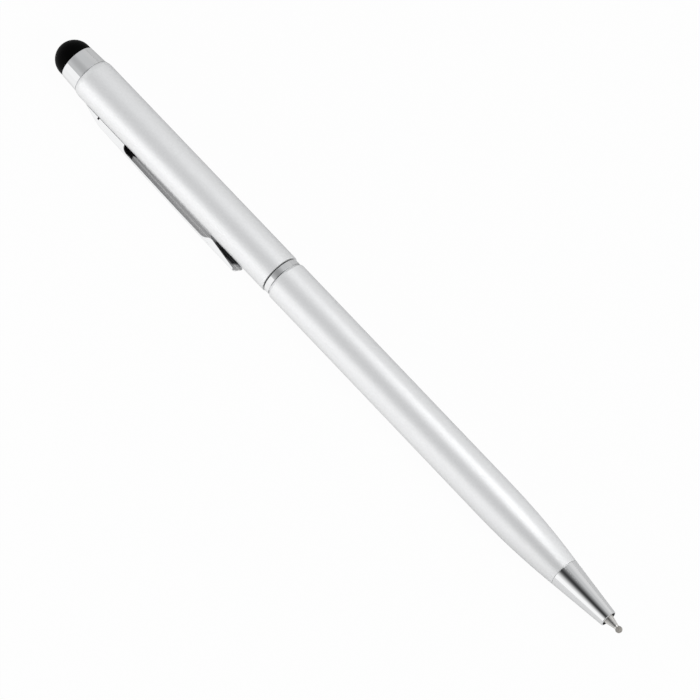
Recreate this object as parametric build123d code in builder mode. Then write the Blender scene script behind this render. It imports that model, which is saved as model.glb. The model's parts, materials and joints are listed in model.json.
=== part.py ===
from build123d import *
import math
import os

# Slim twist-action ballpoint pen with a rubber stylus dome on its other end.
# The pen lies along X with its writing tip towards +X, and +Z is up: it rests on the barrels and on one
# edge of its clip. The origin is on the pen's axis, in the rear face of the lower barrel, where the two
# barrels turn against each other. All sizes are in millimetres. The refill is drawn out, ready to write:
# half a turn of the upper barrel draws it in.

# Fits, on the radius, and the run of every cut past the face it starts from
SEAT_CLEARANCE = 0.03
SLIDE_CLEARANCE = 0.06
AXIAL_PLAY = 0.10
CUT_OVERRUN = 0.5

# Refill
REFILL_LENGTH = 67.0
REFILL_DIAMETER = 2.35
REFILL_WALL = 0.30
INK_HEADSPACE = 8.15
TIP_REACH = 2.70
BALL_DIAMETER = 0.70
BALL_GAP = 0.012
BALL_SEATING = 0.08
SOCKET_WALL = 0.07
INK_CHANNEL_DIAMETER = 0.36
SHANK_CHANNEL_DIAMETER = 0.90
POINT_SHANK_LENGTH = 4.0
POINT_SHOULDER_INSET = 0.025
POINT_SHOULDER_LENGTH = 0.80
POINT_CONE_LENGTH = 3.05
POINT_NECK_LENGTH = 0.73
SEAL_COVER = 0.145

# Twist mechanism
TRAVEL = 4.5
TWIST_ANGLE = 180.0
DRIVER_WALL = 0.58
DRIVER_TAIL = 2.0
DRIVER_SOCKET_DEPTH = 6.0
DRIVER_EDGE = 0.25
PIN_DIAMETER = 0.96
PIN_INSET = 0.25
PIN_EDGE = 0.10
GUIDE_WALL = 0.40
GUIDE_PLUG_LENGTH = 12.0
GUIDE_PLUG_LEAD = 0.40
GUIDE_NECK_STEP = 0.45
GUIDE_LIP = 0.90
CAM_WALL = 0.78
CAM_LAND = 2.0
CAM_INSET = 0.35
RETAINER_THICKNESS = 0.50
RETAINER_WIDTH = 0.70
RETAINER_GROOVE_DEPTH = 0.15
RETAINER_ARC = 300.0
FRICTION_CORD = 0.50

# Barrels, centre ring and nose
BARREL_WALL = 0.535
LOWER_BARREL_LENGTH = 67.0
TAPER_LENGTH = 16.5
MOUTH_CHAMFER_LENGTH = 0.40
MOUTH_CHAMFER_DROP = 0.25
BORE_CONE_LENGTH = 9.5
FRONT_WALL = 0.735
UPPER_BARREL_LENGTH = 46.72
TOP_ROUND_LENGTH = 1.0
TOP_ROUND_DROP = 0.20
RING_WIDTH = 1.13
RING_RECESS = 0.18
RING_EDGE = 0.08
TWIST_GAP = 0.20
NOSE_LENGTH = 10.5
NOSE_CLEARANCE = 0.10
NOSE_LIP = 0.18
NOSE_ROUNDING_SHARE = 0.75
SPIGOT_WALL = 0.60
SPIGOT_LENGTH = 7.0

# Stylus end
COLLAR_LENGTH = 3.62
COLLAR_WALL = 0.58
COLLAR_FLARE = 0.18
COLLAR_FLOOR = 0.80
COLLAR_EDGE = 0.10
CORE_HEAD_DIAMETER = 3.8
CORE_HEAD_LENGTH = 2.4
CORE_HEAD_ROUND = 0.60
CORE_SHANK_DIAMETER = 2.6
CORE_SHANK_LENGTH = 6.0
SKIRT_WALL = 0.70
DOME_INSET = 0.04
DOME_BAND = 0.67
LOCK_LENGTH = 7.0

# Clip, a pressed strip with folded side walls at its root and foot
CLIP_LENGTH = 38.6
CLIP_SETBACK = 2.25
CLIP_WIDTH = 3.0
CLIP_SHEET = 0.38
CLIP_BEND = 0.24
CLIP_CREASE_RADIUS = 8.0
CLIP_CORNER_RADIUS = 0.55
CLIP_SEAT_GAP = 0.05
CLIP_RAMP_LENGTH = 4.3
CLIP_RAMP_SINK = 0.28
CLIP_ROOT_RISE = 0.88
CLIP_MIDDLE_RISE = 1.28
CLIP_FOOT_RISE = 1.38
ROOT_WALL_START = 0.9
ROOT_WALL_LENGTH = 9.2
ROOT_CURVE_LENGTH = 1.6
ROOT_NOTCH_START = 3.6
ROOT_NOTCH_WIDTH = 0.36
ROOT_NOTCH_RISE = 0.08
FOOT_WALL_LENGTH = 7.8
FOOT_CURVE_LENGTH = 2.1
FOOT_GAP = 0.40
FOOT_LEAD_LIP = 0.47
TANG_START = 2.4
TANG_WIDTH = 2.0
HOOK_LENGTH = 1.2
HOOK_DROP = 0.50
SLOT_CLEARANCE = 0.20
OUTWARD_SHARE = 0.5

# Radii from the refill outwards: each sleeve is worked out from the one inside it
refill_radius = REFILL_DIAMETER / 2
refill_bore = refill_radius - REFILL_WALL
socket_radius = refill_radius + SEAT_CLEARANCE
driver_radius = socket_radius + DRIVER_WALL
guide_bore = driver_radius + SLIDE_CLEARANCE
guide_radius = guide_bore + GUIDE_WALL
guide_neck_radius = guide_radius + GUIDE_NECK_STEP
cam_bore = guide_radius + SLIDE_CLEARANCE
cam_radius = cam_bore + CAM_WALL
barrel_bore = cam_radius + SEAT_CLEARANCE
barrel_radius = barrel_bore + BARREL_WALL
ring_bore = guide_neck_radius + SEAT_CLEARANCE
ring_radius = barrel_radius - RING_RECESS
nose_bore = refill_radius + NOSE_CLEARANCE
nose_end_radius = nose_bore + NOSE_LIP
spigot_radius = nose_bore + SPIGOT_WALL
front_bore = spigot_radius + SEAT_CLEARANCE
nose_base_radius = front_bore + FRONT_WALL
ball_radius = BALL_DIAMETER / 2
ball_seat_radius = ball_radius + BALL_GAP
neck_radius = ball_seat_radius + SOCKET_WALL
seal_radius = neck_radius + SEAL_COVER
shoulder_radius = refill_radius - POINT_SHOULDER_INSET
shank_radius = refill_bore - SEAT_CLEARANCE
pin_radius = PIN_DIAMETER / 2
pin_slot_radius = pin_radius + SLIDE_CLEARANCE
pin_reach = cam_radius - PIN_INSET
core_shank_radius = CORE_SHANK_DIAMETER / 2
core_bore = core_shank_radius + SEAT_CLEARANCE
core_head_radius = CORE_HEAD_DIAMETER / 2
skirt_bore = core_head_radius + SEAT_CLEARANCE
skirt_radius = skirt_bore + SKIRT_WALL
collar_bore = skirt_radius + SEAT_CLEARANCE
collar_mouth_radius = collar_bore + COLLAR_WALL
collar_base_radius = collar_mouth_radius + COLLAR_FLARE
dome_radius = collar_mouth_radius - DOME_INSET

# Stations along X, towards the writing tip
taper_x = LOWER_BARREL_LENGTH - TAPER_LENGTH
spigot_rear_x = LOWER_BARREL_LENGTH - SPIGOT_LENGTH
front_bore_rear_x = spigot_rear_x - AXIAL_PLAY
bore_cone_rear_x = front_bore_rear_x - BORE_CONE_LENGTH
nose_end_x = LOWER_BARREL_LENGTH + NOSE_LENGTH
ball_x = nose_end_x + TIP_REACH - ball_radius
rim_x = ball_x + BALL_SEATING
cone_end_x = rim_x - POINT_NECK_LENGTH
cone_start_x = cone_end_x - POINT_CONE_LENGTH
shoulder_x = cone_start_x - POINT_SHOULDER_LENGTH
shank_rear_x = shoulder_x - POINT_SHANK_LENGTH
refill_tail_x = nose_end_x + TIP_REACH - REFILL_LENGTH
ink_rear_x = refill_tail_x + INK_HEADSPACE
driver_front_x = refill_tail_x + DRIVER_SOCKET_DEPTH

# Stations along X, towards the stylus dome
upper_front_x = -RING_WIDTH - TWIST_GAP
upper_rear_x = upper_front_x - UPPER_BARREL_LENGTH
cam_front_x = upper_front_x - CAM_INSET
neck_rear_x = cam_front_x + AXIAL_PLAY
friction_x = cam_front_x - FRICTION_CORD / 2
pocket_floor_x = cam_front_x - FRICTION_CORD - SLIDE_CLEARANCE
pocket_radius = guide_radius + SEAT_CLEARANCE + FRICTION_CORD + SLIDE_CLEARANCE
pin_x = pocket_floor_x - CAM_LAND - pin_slot_radius
pin_in_x = pin_x - TRAVEL
driver_rear_x = pin_x - DRIVER_TAIL
cam_rear_x = pin_in_x - pin_slot_radius - CAM_LAND
retainer_front_x = cam_rear_x - AXIAL_PLAY
retainer_rear_x = retainer_front_x - RETAINER_THICKNESS
guide_rear_x = retainer_rear_x - GUIDE_LIP
collar_floor_x = upper_rear_x - COLLAR_FLOOR
collar_rear_x = upper_rear_x - COLLAR_LENGTH
dome_x = collar_rear_x - DOME_BAND
core_head_rear_x = collar_floor_x - CORE_HEAD_LENGTH
core_front_x = collar_floor_x + CORE_SHANK_LENGTH

# The clip leans from straight down until the bend of its outer edge and the barrel share one flat surface
bend_height = barrel_radius + CLIP_FOOT_RISE - CLIP_BEND
bend_offset = CLIP_WIDTH / 2 - CLIP_BEND
bend_reach = math.hypot(bend_height, bend_offset)
clip_lean = math.acos((barrel_radius - CLIP_BEND) / bend_reach) + math.atan2(bend_offset, bend_height)
clip_outward = (0, -math.sin(clip_lean), -math.cos(clip_lean))
clip_across = (0, math.cos(clip_lean), -math.sin(clip_lean))
clip_plane = Plane(origin=(0, 0, 0), x_dir=(1, 0, 0), z_dir=clip_across)

# Clip stations along X and heights from the pen's axis
clip_start_x = upper_rear_x + CLIP_SETBACK
clip_end_x = clip_start_x + CLIP_LENGTH
ramp_end_x = clip_start_x + CLIP_RAMP_LENGTH
clip_middle_x = (ramp_end_x + clip_end_x) / 2
ramp_start_height = barrel_radius - CLIP_RAMP_SINK
ramp_end_height = barrel_radius + CLIP_ROOT_RISE
clip_middle_height = barrel_radius + CLIP_MIDDLE_RISE
clip_end_height = barrel_radius + CLIP_FOOT_RISE
ramp_slope = (ramp_end_height - ramp_start_height) / CLIP_RAMP_LENGTH
root_wall_x = clip_start_x + ROOT_WALL_START
root_curve_x = root_wall_x + ROOT_WALL_LENGTH
root_wall_end_x = root_curve_x + ROOT_CURVE_LENGTH
root_wall_floor = ramp_start_height - CLIP_SHEET
notch_rear_x = clip_start_x + ROOT_NOTCH_START
notch_front_x = notch_rear_x + ROOT_NOTCH_WIDTH
notch_height = barrel_radius + ROOT_NOTCH_RISE
foot_wall_end_x = clip_end_x - CLIP_CORNER_RADIUS
foot_wall_x = foot_wall_end_x - FOOT_WALL_LENGTH
keel_x = foot_wall_x + FOOT_CURVE_LENGTH
keel_height = math.sqrt((barrel_radius + FOOT_GAP) ** 2 - (CLIP_WIDTH / 2) ** 2)
wall_lap = (CLIP_SHEET - CLIP_BEND) / 2
tang_rear_x = clip_start_x + TANG_START
tang_front_x = tang_rear_x + CLIP_SHEET
tang_ramp_height = ramp_start_height + ramp_slope * TANG_START
tang_top_height = (barrel_radius + CLIP_SEAT_GAP + tang_ramp_height) / 2
hook_rear_x = tang_rear_x - HOOK_LENGTH
hook_top_height = barrel_bore - HOOK_DROP
hook_bottom_height = hook_top_height - CLIP_SHEET
pocket_floor_height = hook_bottom_height - SLOT_CLEARANCE
tang_pocket_half_width = TANG_WIDTH / 2 + SLOT_CLEARANCE


def strip_height(station):
    """Height of the clip's outer face over the pen's axis at a station past its ramp."""
    half_run = clip_end_x - clip_middle_x
    place = (station - clip_middle_x) / half_run
    tilt = (clip_end_height - ramp_end_height) / 2
    bow = (clip_end_height + ramp_end_height) / 2 - clip_middle_height
    return clip_middle_height + tilt * place + bow * place**2


# Lower barrel: a tube with a chamfered mouth, drawn in by one long arc towards the nose
with BuildPart() as lower_barrel:
    with BuildSketch(Plane.XZ):
        with BuildLine():
            mouth = Polyline(
                (0, barrel_bore),
                (0, barrel_radius - MOUTH_CHAMFER_DROP),
                (MOUTH_CHAMFER_LENGTH, barrel_radius),
                (taper_x, barrel_radius),
            )
            taper = TangentArc(mouth @ 1, (LOWER_BARREL_LENGTH, nose_base_radius), tangent=(1, 0))
            Polyline(
                taper @ 1,
                (LOWER_BARREL_LENGTH, front_bore),
                (front_bore_rear_x, front_bore),
                (bore_cone_rear_x, barrel_bore),
                mouth @ 0,
            )
        make_face()
    revolve(axis=Axis.X)

# Nose: a turned cone whose spigot seats in the front of the lower barrel
with BuildPart() as nose_cone:
    with BuildSketch(Plane.XZ):
        with BuildLine():
            Polyline(
                (LOWER_BARREL_LENGTH, nose_base_radius),
                (nose_end_x, nose_end_radius),
                (nose_end_x, nose_bore),
                (spigot_rear_x, nose_bore),
                (spigot_rear_x, spigot_radius),
                (LOWER_BARREL_LENGTH, spigot_radius),
                close=True,
            )
        make_face()
    revolve(axis=Axis.X)
    nose_rim = nose_cone.edges().group_by(Axis.X)[-1].sort_by(SortBy.RADIUS)[-1]
    fillet(nose_rim, radius=NOSE_LIP * NOSE_ROUNDING_SHARE)

# Centre ring: seats on the neck of the guide tube, against the mouth of the lower barrel
with BuildPart() as centre_ring:
    with BuildSketch(Plane.XZ):
        with BuildLine():
            Polyline(
                (0, ring_bore),
                (0, ring_radius - RING_EDGE),
                (-RING_EDGE, ring_radius),
                (RING_EDGE - RING_WIDTH, ring_radius),
                (-RING_WIDTH, ring_radius - RING_EDGE),
                (-RING_WIDTH, ring_bore),
                close=True,
            )
        make_face()
    revolve(axis=Axis.X)

# Guide tube: its plug seats in the lower barrel, and its slotted tube keeps the driver from turning
with BuildPart() as guide_tube:
    with BuildSketch(Plane.XZ):
        with BuildLine():
            Polyline(
                (GUIDE_PLUG_LENGTH, guide_bore),
                (GUIDE_PLUG_LENGTH, cam_radius - GUIDE_PLUG_LEAD),
                (GUIDE_PLUG_LENGTH - GUIDE_PLUG_LEAD, cam_radius),
                (0, cam_radius),
                (0, guide_neck_radius),
                (neck_rear_x, guide_neck_radius),
                (neck_rear_x, guide_radius),
                (retainer_front_x + SEAT_CLEARANCE, guide_radius),
                (retainer_front_x + SEAT_CLEARANCE, guide_radius - RETAINER_GROOVE_DEPTH),
                (retainer_rear_x - SEAT_CLEARANCE, guide_radius - RETAINER_GROOVE_DEPTH),
                (retainer_rear_x - SEAT_CLEARANCE, guide_radius),
                (guide_rear_x, guide_radius),
                (guide_rear_x, guide_bore),
                close=True,
            )
        make_face()
    revolve(axis=Axis.X)
    with BuildSketch(Plane.XY):
        with Locations(((pin_x + pin_in_x) / 2, 0)):
            SlotCenterToCenter(TRAVEL, 2 * pin_slot_radius)
    extrude(amount=guide_radius + CUT_OVERRUN, both=True, mode=Mode.SUBTRACT)

# Retaining ring: an open spring ring in the groove of the guide tube, which keeps the cam sleeve on
with BuildPart() as retaining_ring:
    retainer_bore = guide_radius - RETAINER_GROOVE_DEPTH + SEAT_CLEARANCE
    with BuildSketch(Plane.XZ):
        with BuildLine():
            Polyline(
                (retainer_front_x, retainer_bore),
                (retainer_front_x, retainer_bore + RETAINER_WIDTH),
                (retainer_rear_x, retainer_bore + RETAINER_WIDTH),
                (retainer_rear_x, retainer_bore),
                close=True,
            )
        make_face()
    revolve(axis=Axis.X, revolution_arc=RETAINER_ARC)

# Friction ring: a rubber ring round the guide tube, in the front pocket of the cam sleeve
with BuildPart() as friction_ring:
    with BuildSketch(Plane.XZ):
        with Locations((friction_x, guide_radius + SEAT_CLEARANCE + FRICTION_CORD / 2)):
            Circle(FRICTION_CORD / 2)
    revolve(axis=Axis.X)

# Cutter for one helical slot of the cam sleeve, from the pin drawn out to the pin drawn in
with BuildPart() as cam_slot:
    with BuildLine() as slot_path:
        Helix(
            pitch=TRAVEL * 360 / TWIST_ANGLE,
            height=TRAVEL,
            radius=(cam_bore + cam_radius) / 2,
            center=(pin_x, 0, 0),
            direction=(-1, 0, 0),
            lefthand=True,
        )
    slot_start = slot_path.line @ 0
    slot_finish = slot_path.line @ 1
    with BuildSketch(Plane(slot_start, x_dir=(0, slot_start.Y, slot_start.Z), z_dir=slot_path.line % 0)):
        Rectangle(CAM_WALL + 2 * CUT_OVERRUN, 2 * pin_slot_radius)
    sweep(path=slot_path.line, is_frenet=True)
    for slot_end in (slot_start, slot_finish):
        end_outward = (0, slot_end.Y, slot_end.Z)
        with BuildSketch(Plane((slot_end.X, 0, 0), x_dir=(1, 0, 0), z_dir=end_outward)):
            Circle(pin_slot_radius)
        extrude(amount=cam_radius + CUT_OVERRUN)

# Cam sleeve: turns on the guide tube with the upper barrel, and its two slots drive the pin along
with BuildPart() as cam_sleeve:
    with BuildSketch(Plane.XZ):
        with BuildLine():
            Polyline(
                (cam_front_x, pocket_radius),
                (cam_front_x, cam_radius),
                (cam_rear_x, cam_radius),
                (cam_rear_x, cam_bore),
                (pocket_floor_x, cam_bore),
                (pocket_floor_x, pocket_radius),
                close=True,
            )
        make_face()
    revolve(axis=Axis.X)
    add(cam_slot.part, mode=Mode.SUBTRACT)
    add(cam_slot.part, rotation=(180, 0, 0), mode=Mode.SUBTRACT)

# Driver: a rod that slides in the guide tube, with a socket for the tail of the refill
with BuildPart() as driver:
    with BuildSketch(Plane.XZ):
        with BuildLine():
            Polyline(
                (driver_rear_x, 0),
                (driver_rear_x, driver_radius - DRIVER_EDGE),
                (driver_rear_x + DRIVER_EDGE, driver_radius),
                (driver_front_x, driver_radius),
                (driver_front_x, socket_radius),
                (refill_tail_x, socket_radius),
                (refill_tail_x, 0),
                close=True,
            )
        make_face()
    revolve(axis=Axis.X)
    with BuildSketch(Plane.XY):
        with Locations((pin_x, 0)):
            Circle(pin_radius + SEAT_CLEARANCE)
    extrude(amount=driver_radius + CUT_OVERRUN, both=True, mode=Mode.SUBTRACT)

# Drive pin: crosses the driver and rides in the straight and the helical slots at both ends
with BuildPart() as drive_pin:
    with BuildSketch(Plane.XY):
        with Locations((pin_x, 0)):
            Circle(pin_radius)
    extrude(amount=pin_reach, both=True)
    chamfer(drive_pin.edges().filter_by(GeomType.CIRCLE), length=PIN_EDGE)

# Refill tube and the column of ink in it
with BuildPart() as refill_tube:
    with BuildSketch(Plane.YZ.offset(refill_tail_x)):
        Circle(refill_radius)
        Circle(refill_bore, mode=Mode.SUBTRACT)
    extrude(amount=shoulder_x - refill_tail_x)

with BuildPart() as ink:
    with BuildSketch(Plane.YZ.offset(shank_rear_x)):
        Circle(shank_radius)
    extrude(amount=ink_rear_x - shank_rear_x)

# Outer form of the writing point: shank, shoulder, cone and neck
with BuildPart() as point_form:
    with BuildSketch(Plane.XZ):
        with BuildLine():
            Polyline(
                (shank_rear_x, 0),
                (shank_rear_x, shank_radius),
                (shoulder_x, shank_radius),
                (shoulder_x, shoulder_radius),
                (cone_start_x, shoulder_radius),
                (cone_end_x, neck_radius),
                (rim_x, neck_radius),
                (rim_x, 0),
                close=True,
            )
        make_face()
    revolve(axis=Axis.X)

# Writing point: the form bored for the ink and for the ball
with BuildPart() as writing_point:
    add(point_form.part)
    with BuildSketch(Plane.YZ.offset(shank_rear_x)):
        Circle(SHANK_CHANNEL_DIAMETER / 2)
    extrude(amount=POINT_SHANK_LENGTH, mode=Mode.SUBTRACT)
    with BuildSketch(Plane.YZ.offset(shank_rear_x)):
        Circle(INK_CHANNEL_DIAMETER / 2)
    extrude(amount=ball_x - shank_rear_x, mode=Mode.SUBTRACT)
    with Locations((ball_x, 0, 0)):
        Sphere(ball_seat_radius, mode=Mode.SUBTRACT)

with BuildPart() as writing_ball:
    with Locations((ball_x, 0, 0)):
        Sphere(ball_radius)

# Tip seal: the drop that keeps a new point from drying, moulded over the neck and the ball
with BuildPart() as tip_seal:
    drop_angle = 180 - math.degrees(math.asin(neck_radius / seal_radius))
    dimple_angle = math.degrees(math.acos(BALL_SEATING / ball_seat_radius))
    with BuildSketch(Plane.XZ):
        with BuildLine():
            drop = CenterArc((ball_x, 0), seal_radius, 0, drop_angle)
            dimple = CenterArc((ball_x, 0), ball_seat_radius, 0, dimple_angle)
            Polyline(drop @ 1, (rim_x, neck_radius), dimple @ 1)
            Line(dimple @ 0, drop @ 0)
        make_face()
    revolve(axis=Axis.X)

# Upper barrel: a tube with a rounded top edge and a slot under the clip for its tang
with BuildPart() as upper_barrel:
    with BuildSketch(Plane.XZ):
        with BuildLine():
            wall = Polyline(
                (upper_rear_x, barrel_radius - TOP_ROUND_DROP),
                (upper_rear_x, barrel_bore),
                (upper_front_x, barrel_bore),
                (upper_front_x, barrel_radius - RING_EDGE),
                (upper_front_x - RING_EDGE, barrel_radius),
                (upper_rear_x + TOP_ROUND_LENGTH, barrel_radius),
            )
            TangentArc(wall @ 1, wall @ 0, tangent=(-1, 0))
        make_face()
    revolve(axis=Axis.X)
    with BuildSketch(clip_plane):
        with BuildLine():
            Polyline(
                (tang_rear_x - SLOT_CLEARANCE, 0),
                (tang_front_x + SLOT_CLEARANCE, 0),
                (tang_front_x + SLOT_CLEARANCE, barrel_radius + CUT_OVERRUN),
                (tang_rear_x - SLOT_CLEARANCE, barrel_radius + CUT_OVERRUN),
                close=True,
            )
        make_face()
    extrude(amount=tang_pocket_half_width, both=True, mode=Mode.SUBTRACT)

# Clip lock: a plug in the top of the upper barrel, with a pocket over the hook of the clip
with BuildPart() as clip_lock:
    with BuildSketch(Plane.YZ.offset(upper_rear_x)):
        Circle(cam_radius)
        Circle(core_bore, mode=Mode.SUBTRACT)
    extrude(amount=LOCK_LENGTH)
    with BuildSketch(clip_plane):
        with BuildLine():
            Polyline(
                (hook_rear_x - SLOT_CLEARANCE, pocket_floor_height),
                (tang_front_x + SLOT_CLEARANCE, pocket_floor_height),
                (tang_front_x + SLOT_CLEARANCE, barrel_radius),
                (hook_rear_x - SLOT_CLEARANCE, barrel_radius),
                close=True,
            )
        make_face()
    extrude(amount=tang_pocket_half_width, both=True, mode=Mode.SUBTRACT)

# Top collar: a flared cup that holds the skirt of the stylus dome
with BuildPart() as top_collar:
    with BuildSketch(Plane.XZ):
        with BuildLine():
            Polyline(
                (upper_rear_x, core_bore),
                (upper_rear_x, collar_base_radius - COLLAR_EDGE),
                (upper_rear_x - COLLAR_EDGE, collar_base_radius),
                (collar_rear_x + COLLAR_EDGE, collar_mouth_radius),
                (collar_rear_x, collar_mouth_radius - COLLAR_EDGE),
                (collar_rear_x, collar_bore),
                (collar_floor_x, collar_bore),
                (collar_floor_x, core_bore),
                close=True,
            )
        make_face()
    revolve(axis=Axis.X)

# Tip core: a stud through the collar into the clip lock, whose head spreads the skirt of the dome
with BuildPart() as tip_core:
    with BuildSketch(Plane.XZ):
        with BuildLine():
            Polyline(
                (core_front_x, 0),
                (core_front_x, core_shank_radius),
                (collar_floor_x, core_shank_radius),
                (collar_floor_x, core_head_radius),
                (core_head_rear_x, core_head_radius),
                (core_head_rear_x, 0),
                close=True,
            )
        make_face()
    revolve(axis=Axis.X)
    head_edge = tip_core.edges().filter_by(GeomType.CIRCLE).sort_by(Axis.X)[0]
    fillet(head_edge, radius=CORE_HEAD_ROUND)

# Stylus tip: a hollow rubber dome with a skirt inside the collar
with BuildPart() as stylus_tip:
    with BuildSketch(Plane.XZ):
        with BuildLine():
            skirt = Polyline(
                (dome_x, skirt_bore),
                (collar_floor_x - SEAT_CLEARANCE, skirt_bore),
                (collar_floor_x - SEAT_CLEARANCE, skirt_radius),
                (collar_rear_x, skirt_radius),
                (collar_rear_x, dome_radius),
                (dome_x, dome_radius),
            )
            crown = TangentArc(skirt @ 1, (dome_x - dome_radius, 0), tangent=(-1, 0))
            hollow = TangentArc(skirt @ 0, (dome_x - skirt_bore, 0), tangent=(-1, 0))
            Line(crown @ 1, hollow @ 1)
        make_face()
    revolve(axis=Axis.X)

# Folded walls on one side of the clip, at its root and at its foot
with BuildPart() as clip_walls:
    # Root wall, which runs down to the barrel, with a relief notch below the crease, and ends in a
    # curve up to the strip
    with BuildSketch(clip_plane.offset(CLIP_WIDTH / 2)):
        with BuildLine():
            root_top = Polyline(
                (root_wall_x, root_wall_floor),
                (root_wall_x, ramp_start_height + ramp_slope * ROOT_WALL_START - CLIP_SHEET + wall_lap),
                (ramp_end_x, strip_height(ramp_end_x) - CLIP_SHEET + wall_lap),
                (root_wall_end_x, strip_height(root_wall_end_x) - CLIP_SHEET + wall_lap),
                (root_wall_end_x, strip_height(root_wall_end_x) - CLIP_SHEET),
            )
            root_curve = Spline(
                root_top @ 1,
                (root_curve_x, root_wall_floor),
                tangents=((-1, 0), (0, -1)),
            )
            Polyline(
                root_curve @ 1,
                (notch_front_x, root_wall_floor),
                (notch_front_x, notch_height),
                (notch_rear_x, notch_height),
                (notch_rear_x, root_wall_floor),
                root_top @ 0,
            )
        make_face()
    extrude(amount=-CLIP_SHEET)

    # Foot wall: an S-curve down to the keel, then a long lead-in up to the end of the strip
    with BuildSketch(clip_plane.offset(CLIP_WIDTH / 2)):
        with BuildLine():
            foot_top = Polyline(
                (keel_x, keel_height),
                (foot_wall_end_x, strip_height(foot_wall_end_x) - FOOT_LEAD_LIP),
                (foot_wall_end_x, strip_height(foot_wall_end_x) - CLIP_SHEET + wall_lap),
                (foot_wall_x, strip_height(foot_wall_x) - CLIP_SHEET + wall_lap),
                (foot_wall_x, strip_height(foot_wall_x) - CLIP_SHEET),
            )
            Spline(foot_top @ 1, foot_top @ 0, tangents=((1, 0), (1, 0)))
        make_face()
    extrude(amount=-CLIP_SHEET)

# Clip: the bowed strip, its folded walls, the saddle where it meets the barrel, and the hooked tang
with BuildPart() as clip:
    with BuildSketch(clip_plane):
        with BuildLine():
            outer_ramp = Line((clip_start_x, ramp_start_height), (ramp_end_x, ramp_end_height))
            outer_bow = ThreePointArc(
                outer_ramp @ 1,
                (clip_middle_x, clip_middle_height),
                (clip_end_x, clip_end_height),
            )
            strip_end = Line(outer_bow @ 1, (clip_end_x, clip_end_height - CLIP_SHEET))
            inner_bow = ThreePointArc(
                strip_end @ 1,
                (clip_middle_x, clip_middle_height - CLIP_SHEET),
                (ramp_end_x, ramp_end_height - CLIP_SHEET),
            )
            Polyline(inner_bow @ 1, (clip_start_x, ramp_start_height - CLIP_SHEET), outer_ramp @ 0)
        make_face()
    extrude(amount=CLIP_WIDTH / 2, both=True)
    across_edges = clip.edges().filter_by(Axis((0, 0, 0), clip_across)).sort_by(Axis.X)
    fillet(across_edges[2:4], radius=CLIP_CREASE_RADIUS)
    upright_edges = clip.edges().filter_by(Axis((0, 0, 0), clip_outward)).sort_by(Axis.X)
    fillet(upright_edges[-2:], radius=CLIP_CORNER_RADIUS)
    outer_faces = clip.faces().filter_by(
        lambda face: face.normal_at().dot(Vector(clip_outward)) > OUTWARD_SHARE
    )
    side_edges = outer_faces.edges().filter_by(
        lambda edge: abs(edge.center().dot(Vector(clip_across))) > CLIP_WIDTH / 2 - CLIP_CORNER_RADIUS
    )
    fillet(side_edges, radius=CLIP_BEND)
    add(clip_walls.part)
    mirror(clip_walls.part, about=clip_plane)

    # Saddle: the ramp and the root walls are cut to the round of the barrel
    with BuildSketch(Plane.YZ.offset(clip_start_x - CUT_OVERRUN)):
        Circle(barrel_radius + CLIP_SEAT_GAP)
    extrude(amount=CLIP_LENGTH + CUT_OVERRUN, mode=Mode.SUBTRACT)

    # Tang: a tongue through the slot of the barrel, hooked under its wall
    with BuildSketch(clip_plane):
        with BuildLine():
            Polyline(
                (tang_front_x, tang_top_height),
                (tang_front_x, hook_bottom_height),
                (hook_rear_x, hook_bottom_height),
                (hook_rear_x, hook_top_height),
                (tang_rear_x, hook_top_height),
                (tang_rear_x, tang_top_height),
                close=True,
            )
        make_face()
    extrude(amount=TANG_WIDTH / 2, both=True)

# Each piece is written under its own name
pieces = {
    "lower_barrel": lower_barrel,
    "nose_cone": nose_cone,
    "centre_ring": centre_ring,
    "guide_tube": guide_tube,
    "retaining_ring": retaining_ring,
    "friction_ring": friction_ring,
    "cam_sleeve": cam_sleeve,
    "driver": driver,
    "drive_pin": drive_pin,
    "refill_tube": refill_tube,
    "ink": ink,
    "writing_point": writing_point,
    "writing_ball": writing_ball,
    "tip_seal": tip_seal,
    "upper_barrel": upper_barrel,
    "clip_lock": clip_lock,
    "top_collar": top_collar,
    "tip_core": tip_core,
    "stylus_tip": stylus_tip,
    "clip": clip,
}
os.makedirs("parts", exist_ok=True)
for piece_name, piece in pieces.items():
    piece.part.label = piece_name
    export_step(piece.part, f"parts/{piece_name}.step")
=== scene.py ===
import json
import math

import bmesh
import bpy
from mathutils import Matrix, Vector


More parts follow.
